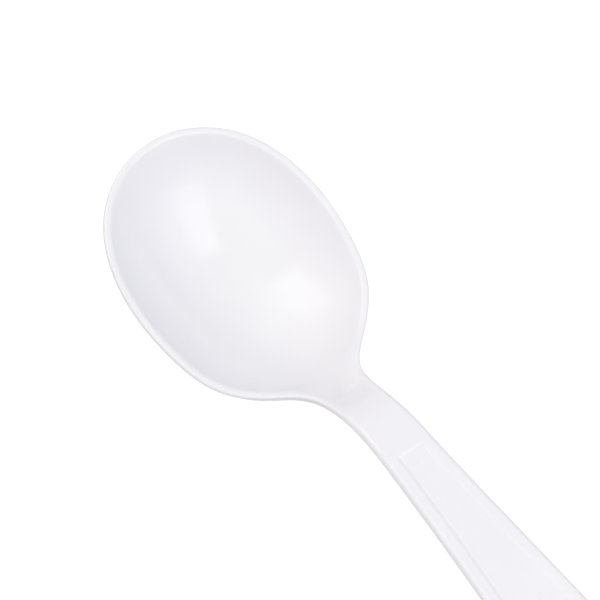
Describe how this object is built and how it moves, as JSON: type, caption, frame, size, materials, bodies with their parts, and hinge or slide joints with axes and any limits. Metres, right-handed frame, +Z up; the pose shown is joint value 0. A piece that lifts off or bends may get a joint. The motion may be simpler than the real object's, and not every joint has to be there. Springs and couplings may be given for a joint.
{
  "type": "soup spoon",
  "caption": "White moulded soup spoon: a deep egg-shaped bowl with a rounded lip, an S-shaped neck and a widening handle with a recessed panel.",
  "frame": {"origin": "centre of the box round the spoon, on the table that it rests on", "axes": "+X runs from the tip of the bowl to the end of the handle, +Y is across the spoon, +Z is up and out of the open bowl"},
  "size_m": [0.1483, 0.042, 0.0197],
  "materials": {
    "white_plastic": "gloss, slightly translucent white"
  },
  "bodies": {
    "root": {"bowl": "white_plastic", "rim": "white_plastic", "neck": "white_plastic", "left_rail": "white_plastic", "right_rail": "white_plastic", "panel": "white_plastic", "tail_end": "white_plastic"}
  },
  "joints": []
}
